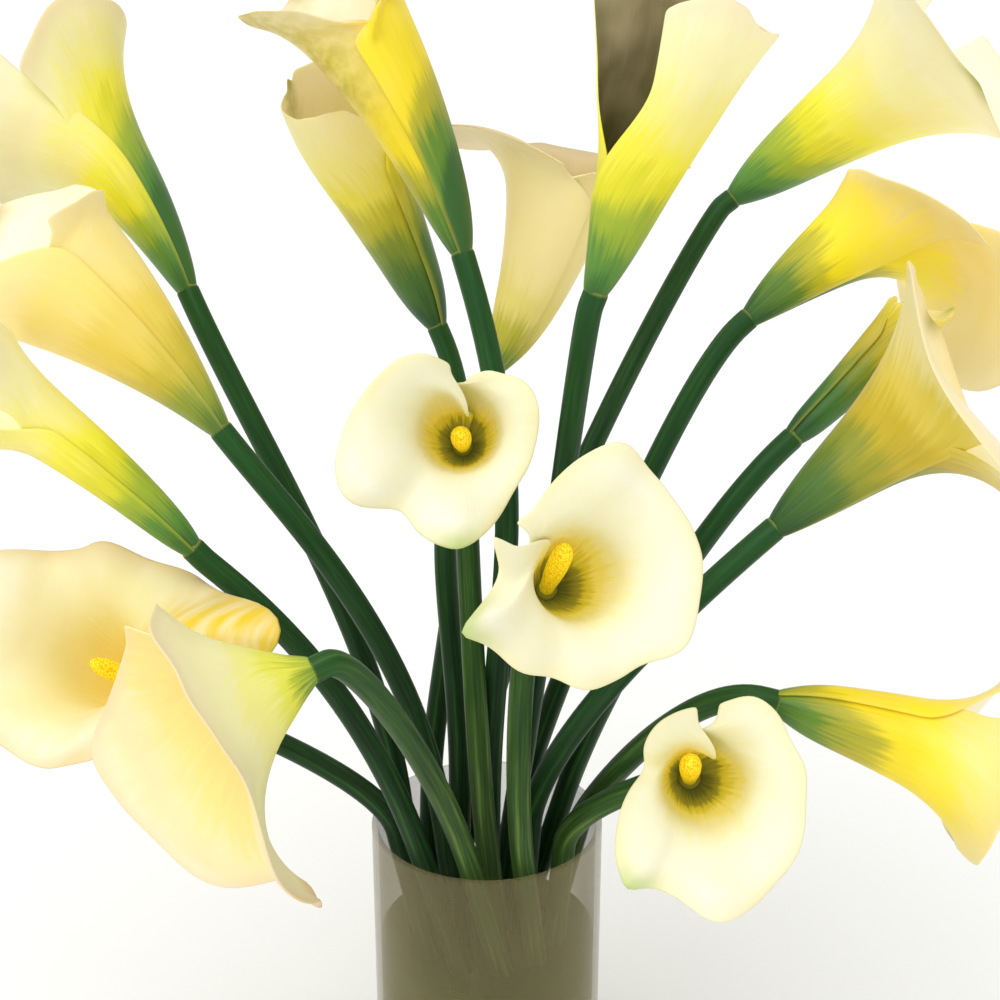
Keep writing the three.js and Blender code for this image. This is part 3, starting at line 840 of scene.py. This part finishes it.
@dataclass
class Piece:
    """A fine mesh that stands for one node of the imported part."""

    node: str
    slot: str

    def build(self) -> bpy.types.Object:
        """Model the piece and dress it."""
        raise NotImplementedError

    def mount(self, shape: bmesh.types.BMesh, *materials: bpy.types.Material) -> bpy.types.Object:
        """Turn a mesh into the piece's object.

        Args:
            shape: The finished mesh, which is freed.
            materials: The materials of its faces, in order.

        Returns:
            The object, riding on the part.
        """
        for face in shape.faces:
            face.smooth = True
        mesh = bpy.data.meshes.new(f"{self.node}_mesh")
        shape.to_mesh(mesh)
        shape.free()
        for material in materials:
            mesh.materials.append(material)
        piece = bpy.data.objects.new(f"{self.node}_fine", mesh)
        bpy.context.scene.collection.objects.link(piece)
        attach(piece, ROOT_BODY)
        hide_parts(self.node)
        return piece


def flat_sheet(columns: int, rows: int) -> tuple[bmesh.types.BMesh, list[Pair]]:
    """Start a sheet to be bent round an axis.

    Args:
        columns: Faces across it.
        rows: Faces along it.

    Returns:
        The mesh, and for every vertex its place across, from -1 to 1, and along, from 0 to 1.
    """
    shape = bmesh.new()
    bmesh.ops.create_grid(shape, x_segments=columns, y_segments=rows, size=1.0)
    shape.verts.index_update()
    return shape, [(vertex.co.x, (vertex.co.y + 1) / 2) for vertex in shape.verts]


def lay_out(shape: bmesh.types.BMesh, marks: list[Pair]) -> None:
    """Write the sheet's own millimetres into its UV map.

    Args:
        shape: The mesh.
        marks: Millimetres across and along for every vertex.
    """
    layer = shape.loops.layers.uv.new("millimetres")
    for face in shape.faces:
        for loop in face.loops:
            loop[layer].uv = marks[loop.vert.index]


def close(shape: bmesh.types.BMesh) -> None:
    """Merge a round mesh's seam and poles, fill its open ends and turn its faces outwards.

    Args:
        shape: The mesh.
    """
    bmesh.ops.remove_doubles(shape, verts=shape.verts, dist=1e-6)
    bmesh.ops.holes_fill(shape, edges=[edge for edge in shape.edges if edge.is_boundary], sides=0)
    bmesh.ops.recalc_face_normals(shape, faces=shape.faces)


# Spathe.
@dataclass
class Spathe(Piece):
    """The cream sheet rolled into a funnel, with its margins overlapping at the back."""

    flower: Flower = field(kw_only=True)
    columns: int = 64
    rows: int = 30
    thickness_mm: float = 1.4
    march: int = 24
    neck_radius: float = 7.0
    neck_rise: float = 0.9
    neck_draw_in: float = 1.5
    neck_length: float = 4.0
    bulb_share: float = 0.25
    flare_power: float = 1.3
    rolled_share: float = 0.7
    overlap: float = math.radians(28)
    layer_from: float = 0.6
    layer_full: float = 0.9
    layer_lift: float = 1.1
    layer_share: float = 0.03
    beak_width: float = 0.06
    curl_from: float = 0.7
    curl_start: float = 0.2
    round_mm: float = 90.0
    fold_mm: float = 1.7
    fold_waves: Pair = (4.5, 1.6)
    crease_mm: float = 0.7
    crease_waves: Pair = (15, 3.5)
    ragged_share: float = 0.014
    ragged_waves: float = 8
    seed_step: float = 3.7
    point_pull: float = 0.12
    point_width: float = 0.05
    margin_tint: float = 0.3
    margin_from: float = 0.93
    tube_span: Pair = (0.3, 0.8)
    rim_from: float = 0.9
    gold_shade_span: Pair = (0.3, 0.6)

    def reach(self, across: float) -> float:
        """Give how far the sheet reaches.

        Args:
            across: From -1 at one margin to 1 at the other.

        Returns:
            The reach in shares of the flower's length.
        """
        beak = self.flower.beak * math.exp(-abs(across - self.flower.point) / self.beak_width)
        ragged = self.ragged_share * noise.noise((across * self.ragged_waves, 0.0, self.seed))
        return between(self.flower.reach, (across + 1) / 2) / 100 + beak + ragged

    @property
    def seed(self) -> float:
        """Give the place in the noise that is this flower's own."""
        return self.seed_step * int(self.flower.name)

    def ruffle(self, across: float, along: float) -> float:
        """Give the soft folds and small creases of the open limb, in millimetres.

        Args:
            across: From -1 at one margin to 1 at the other.
            along: From 0 where the sheet starts to open to 1 at the rim.

        Returns:
            How far the sheet stands out.
        """
        place, wide, high = self.flower.ridge
        rib = high * math.exp(-((across - place) / wide) ** 2)
        fold = noise.noise((across * self.fold_waves[0], along * self.fold_waves[1], self.seed))
        crease = noise.noise((across * self.crease_waves[0], along * self.crease_waves[1], self.seed + 50))
        return (rib + self.fold_mm * fold) * along + self.crease_mm * along * along * crease

    def openness(self, share: float, reach: float) -> float:
        """Give how far the funnel has opened at a share of the length."""
        return min(max((share - self.flower.open) / (reach - self.flower.open), 0.0), 1.0)

    def point(self, across: float, along: float) -> Vector:
        """Give a point of the sheet's middle face, in metres.

        Args:
            across: From -1 at one margin to 1 at the other.
            along: From 0 at the base to 1 at the rim.

        Returns:
            The point.
        """
        flower = self.flower
        reach = self.reach(across)
        flare = math.radians(between(flower.flare, (across + 1) / 2))
        bulbous = math.radians(flower.bulb)
        cone = math.radians(flower.cone)
        step = along * reach * flower.length / self.march
        radius, height, slope = self.neck_radius, self.neck_rise, bulbous
        for count in range(self.march):
            share = (count + 0.5) * step / flower.length
            bulb = max(1 - share / self.bulb_share, 0.0) ** 2
            slope = cone + (bulbous - cone) * bulb
            slope += (flare - cone) * self.openness(share, reach) ** self.flare_power
            radius += step * math.sin(slope)
            height += step * math.cos(slope)
        opened = self.openness(along * reach, reach)
        shut = 1 - smooth(opened, 0, self.rolled_share)
        angle = across * (math.pi + self.overlap * shut - math.radians(flower.part) / 2 * (1 - shut))
        layer = math.copysign(smooth(abs(across), self.layer_from, self.layer_full), across) * shut
        hand = flower.roll.value
        lift = hand * layer * (self.layer_lift + self.layer_share * radius)
        wave = flower.wave * opened ** 2 * math.sin(flower.waves * angle + flower.phase)
        wave += self.ruffle(across, opened)
        inmost = smooth(-hand * across, self.curl_from, 1)
        curled = smooth(along * reach, self.curl_start, flower.open)
        radius *= 1 - flower.curl * inmost * curled * shut
        radius += (lift + wave) * math.cos(slope)
        height -= (lift + wave) * math.sin(slope)
        walked = along * reach * flower.length
        radius -= self.neck_draw_in * (1 - smooth(walked, 0, self.neck_length * 2))
        height -= self.neck_length * (1 - smooth(walked, 0, self.neck_length * 2))
        return flower.place(radius * math.cos(angle), radius * math.sin(angle), height)

    def build(self) -> bpy.types.Object:
        """Model the sheet and give it its thickness and skins.

        Returns:
            The object.
        """
        flower = self.flower
        shape, places = flat_sheet(self.columns, self.rows)
        margin, rim, gilt, beak = (shape.verts.layers.float.new(mark) for mark in SPATHE_MARKS)
        marks: list[Pair] = []
        spacing = 2 / self.columns
        nearest = round((flower.point + 1) / spacing) * spacing - 1
        for vertex, (column, along) in zip(shape.verts, places):
            pull = math.exp(-((column - nearest) / self.point_pull) ** 2)
            across = column + (flower.point - nearest) * pull
            vertex.co = self.point(across, along)
            tube = 1 - smooth(along, *self.tube_span)
            vertex[margin] = self.margin_tint * smooth(abs(across), self.margin_from, 1.0) * tube
            tip = math.exp(-((across - flower.point) / self.point_width) ** 2)
            vertex[beak] = tip * smooth(along, self.rim_from, 1.0)
            vertex[rim] = smooth(along, self.rim_from, 1.0)
            # Golden or olive band: partly the flower's own tint and partly painted shade on one side of the
            # tube.
            where, wide, strong = flower.gilt
            band = math.exp(-((across - where) / wide) ** 2)
            vertex[gilt] = strong * band * smooth(along, *self.gold_shade_span)
            # The greener, darker side, where the colour lags behind: partly the flower's own green and
            # partly painted shade.
            shade_and_green_mm, side = flower.shade_and_green_lag
            shade_and_green_shift = shade_and_green_mm * max(0.0, math.cos(across * math.pi - math.radians(side)))
            marks.append((across * self.round_mm, along * self.reach(across) * flower.length - shade_and_green_shift))
        lay_out(shape, marks)
        piece = self.mount(shape, *flower.skin.faces())
        solid = piece.modifiers.new("thickness", "SOLIDIFY")
        solid.thickness = self.thickness_mm * MM
        solid.offset = 0.0
        solid.use_even_offset = True
        solid.material_offset = 1
        soft = piece.modifiers.new("softness", "SUBSURF")
        soft.levels = soft.render_levels = 1
        return piece


# Stem.
@dataclass
class Stem(Piece):
    """The round stalk, straight in the vase and bowed above it."""

    flower: Flower = field(kw_only=True)
    sides: int = 20
    rings: int = 56
    radius_mm: float = 7.35
    mouth_height: float = 250.0
    floor_height: float = 10.3
    foot_draw_in: float = 0.8
    foot_turn: float = math.radians(75)
    straight_neck: float = 10.0
    into_neck: float = 2.5
    straight_share: float = 0.3
    bow_share: float = 0.94
    crown_share: float = 0.8
    upper_share: float = 0.6
    upper_from: float = 0.35
    flutes: tuple[Triple, ...] = ((0.012, 5, 2), (0.008, 3, 0))

    def line(self, share: float) -> Vector:
        """Give a point of the stalk's middle line.

        Args:
            share: From 0 at the foot to 1 inside the flower's neck.

        Returns:
            The point, in millimetres.
        """
        flower = self.flower
        mouth = Vector((*flower.mouth, self.mouth_height))
        foot = Quaternion((0, 0, 1), self.foot_turn) @ Vector((*flower.mouth, 0)) * self.foot_draw_in
        lean = (foot.xy - mouth.xy).length / self.mouth_height
        foot.z = self.floor_height + self.radius_mm * lean
        if share < self.straight_share:
            return foot.lerp(mouth, share / self.straight_share)
        along = flower.axes()[0]
        way = (mouth - foot).normalized()
        neck = Vector(flower.base) - along * self.straight_neck
        rest = (share - self.straight_share) / (1 - self.straight_share)
        if rest > self.bow_share:
            top = Vector(flower.base) + along * self.into_neck
            return neck.lerp(top, (rest - self.bow_share) / (1 - self.bow_share))
        turn = rest / self.bow_share
        left = 1 - turn
        pull = mouth + way * flower.rise
        push = neck - along * flower.neck
        return (mouth * left ** 3 + pull * 3 * left ** 2 * turn + push * 3 * left * turn ** 2
                + neck * turn ** 3)

    def build(self) -> bpy.types.Object:
        """Model the stalk.

        Returns:
            The object.
        """
        shape, places = flat_sheet(self.sides, self.rings)
        upper, crown = (shape.verts.layers.float.new(mark) for mark in STEM_MARKS)
        centres = [self.line(ring / self.rings) for ring in range(self.rings + 1)]
        frames: list[tuple[Vector, Vector]] = []
        across = Vector((1, 0, 0))
        for ring in range(self.rings + 1):
            before, after = centres[max(ring - 1, 0)], centres[min(ring + 1, self.rings)]
            way = (after - before).normalized()
            across = (across - way * across.dot(way)).normalized()
            frames.append((across.copy(), way.cross(across)))
        walked = [0.0]
        for start, end in zip(centres, centres[1:]):
            walked.append(walked[-1] + (end - start).length)
        marks: list[Pair] = []
        for vertex, (turn, along) in zip(shape.verts, places):
            ring = round(along * self.rings)
            first, second = frames[ring]
            angle = turn * math.pi
            flute = sum(deep * math.sin(count * angle + start) for deep, count, start in self.flutes)
            radius = self.radius_mm * (1 + flute)
            if ring == self.rings:
                radius *= self.crown_share
                vertex[crown] = 1.0
            out = first * math.cos(angle) + second * math.sin(angle)
            vertex.co = (centres[ring] + out * radius) * MM
            vertex[upper] = self.upper_share * smooth(along, self.upper_from, 1.0)
            marks.append((angle * self.radius_mm, walked[ring]))
        lay_out(shape, marks)
        close(shape)
        return self.mount(shape, self.flower.stalk.material())


# Spadix.
@dataclass
class Spadix(Piece):
    """The yellow club in the middle of the flower, covered in florets."""

    flower: Flower = field(kw_only=True)
    sides: int = 28
    rings: int = 48
    radius_mm: float = 6.0
    length_share: float = 0.42
    lift_mm: float = 0.3
    low_width: float = 0.73
    full_from: float = 0.6
    dome_from: float = 0.72
    dome_power: float = 2.4
    foot_share: float = 0.02

    def wide(self, share: float) -> float:
        """Give the club's width.

        Args:
            share: From 0 at its foot to 1 at its tip.

        Returns:
            The width in shares of the widest.
        """
        body = self.low_width + (1 - self.low_width) * smooth(share, 0, self.full_from)
        rounded = max(0.0, (share - self.dome_from) / (1 - self.dome_from))
        dome = math.sqrt(max(0.0, 1 - rounded ** self.dome_power))
        foot = math.sqrt(min(1.0, share / self.foot_share))
        return body * dome * foot

    def build(self) -> bpy.types.Object:
        """Model the club.

        Returns:
            The object.
        """
        flower = self.flower
        shape, places = flat_sheet(self.sides, self.rings)
        length = flower.length * self.length_share
        to_tip, to_side = (math.tan(math.radians(turn)) for turn in flower.lean)
        marks: list[Pair] = []
        for vertex, (turn, along) in zip(shape.verts, places):
            height = self.lift_mm + (length - self.lift_mm) * math.sin(along * math.pi / 2) ** 0.9
            radius = self.radius_mm * self.wide((height - self.lift_mm) / (length - self.lift_mm))
            angle = turn * math.pi
            out = radius * math.cos(angle) + height * to_tip
            aside = radius * math.sin(angle) + height * to_side
            vertex.co = flower.place(out, aside, height)
            marks.append((angle * self.radius_mm, height))
        lay_out(shape, marks)
        close(shape)
        return self.mount(shape, PollenSkin().material())


# Vase.
@dataclass
class Vase(Piece):
    """The straight glass cylinder with its thick floor."""

    radius_mm: float = 75.0
    height_mm: float = 250.0
    wall_mm: float = 4.0
    floor_mm: float = 10.0
    edge_mm: float = 1.2
    steps: int = 96

    def build(self) -> bpy.types.Object:
        """Turn the vase.

        Returns:
            The object.
        """
        edge, inner = self.edge_mm, self.radius_mm - self.wall_mm
        profile = [(0.0, 0.0), (self.radius_mm - edge, 0.0)]
        corners = (
            (self.radius_mm - edge, edge, -90, 0),
            (self.radius_mm - edge, self.height_mm - edge, 0, 90),
            (inner + edge, self.height_mm - edge, 90, 180),
            (inner - 2 * edge, self.floor_mm + 2 * edge, 0, -90),
        )
        for index, (middle, height, start, end) in enumerate(corners):
            size = 2 * edge if index == 3 else edge
            for step in range(5):
                angle = math.radians(start + (end - start) * step / 4)
                profile.append((middle + size * math.cos(angle), height + size * math.sin(angle)))
        profile.append((0.0, self.floor_mm))
        return self.mount(turned(profile, self.steps), CloudyGlass().material())


# Water.
@dataclass
class Water(Piece):
    """The water that the stems stand in."""

    radius_mm: float = 70.8
    low_mm: float = 10.2
    level_mm: float = 165.0
    corner_mm: float = 2.4
    rise_mm: float = 1.6
    steps: int = 96

    def build(self) -> bpy.types.Object:
        """Turn the body of water, with its edge drawn up the glass.

        Returns:
            The object.
        """
        wide, corner, level, rise = self.radius_mm, self.corner_mm, self.level_mm, self.rise_mm
        profile = [
            (0.0, self.low_mm), (wide - corner, self.low_mm), (wide, self.low_mm + corner), (wide, level),
            (wide - corner / 3, level - rise / 2), (wide - corner, level - rise), (0.0, level - rise),
        ]
        return self.mount(turned(profile, self.steps), StemWater().material())


def turned(profile: list[Pair], steps: int) -> bmesh.types.BMesh:
    """Turn a profile once round the upright axis.

    Args:
        profile: Radius and height in millimetres, from the axis out and back to it.
        steps: Faces round the turn.

    Returns:
        A closed mesh in metres.
    """
    shape = bmesh.new()
    corners = [shape.verts.new((radius * MM, 0.0, height * MM)) for radius, height in profile]
    edges = [shape.edges.new(pair) for pair in zip(corners, corners[1:])]
    bmesh.ops.spin(shape, geom=corners + edges, axis=(0, 0, 1), cent=(0, 0, 0), angle=math.tau, steps=steps,
                   use_merge=True)
    close(shape)
    return shape


@dataclass
class Studio:
    """The white floor, the light and the camera of the photograph."""

    floor_m: float = 80.0
    sky_colour: str = "ffffff"
    sky_strength: float = 0.71
    sun_strength: float = 1.55
    sun_width: float = math.radians(70)
    sun_from: Triple = (-0.35, -0.5, 1.0)
    lens_mm: float = 61.2
    camera_place: Triple = (0.0085, -0.9611, 0.8411)
    camera_tilt: float = math.radians(69)

    def build(self) -> None:
        """Set up the floor, the sky, the lamp and the camera."""
        scene = bpy.context.scene
        scene.view_settings.view_transform = "Standard"
        self._floor()
        world = bpy.data.worlds.new("studio sky")
        scene.world = world
        world.use_nodes = True
        tree = world.node_tree
        tree.nodes.clear()
        sky = node(tree, "ShaderNodeBackground", inputs={
            "Color": linear(self.sky_colour), "Strength": self.sky_strength})
        end = tree.nodes.new("ShaderNodeOutputWorld")
        tree.links.new(sky.outputs[0], end.inputs[0])
        light = bpy.data.lights.new("soft key", "SUN")
        light.energy = self.sun_strength
        light.angle = self.sun_width
        lamp = bpy.data.objects.new("soft key", light)
        lamp.rotation_euler = (-Vector(self.sun_from)).to_track_quat("-Z", "Y").to_euler()
        scene.collection.objects.link(lamp)
        camera = bpy.data.objects.new("camera", bpy.data.cameras.new("camera"))
        camera.data.lens = self.lens_mm
        camera.location = self.camera_place
        camera.rotation_euler = (self.camera_tilt, 0.0, 0.0)
        scene.collection.objects.link(camera)
        scene.camera = camera

    def _floor(self) -> None:
        """Lay the floor."""
        shape = bmesh.new()
        bmesh.ops.create_grid(shape, x_segments=2, y_segments=2, size=self.floor_m / 2)
        mesh = bpy.data.meshes.new("floor_mesh")
        shape.to_mesh(mesh)
        shape.free()
        mesh.materials.append(FloorPaint().material())
        floor = bpy.data.objects.new("floor", mesh)
        bpy.context.scene.collection.objects.link(floor)


def pieces() -> list[Piece]:
    """List the pieces in the order in which they are built.

    Returns:
        The pieces.
    """
    listed: list[Piece] = [Vase("vase", "vase_glass"), Water("water", "water")]
    for flower in FLOWERS:
        name = f"flower_{flower.name}"
        listed.append(Stem(f"{name}_stem", "stem", flower=flower))
        listed.append(Spathe(f"{name}_spathe", "spathe", flower=flower))
        listed.append(Spadix(f"{name}_spadix", "spadix", flower=flower))
    return listed


def main() -> None:
    """Build the scene piece by piece."""
    logging.basicConfig(level=logging.INFO, format="%(message)s")
    for piece in pieces():
        piece.build()
        log.info("%s built", piece.node)
    Studio().build()
    log.info("sizes written")


if __name__ == "__main__":
    main()
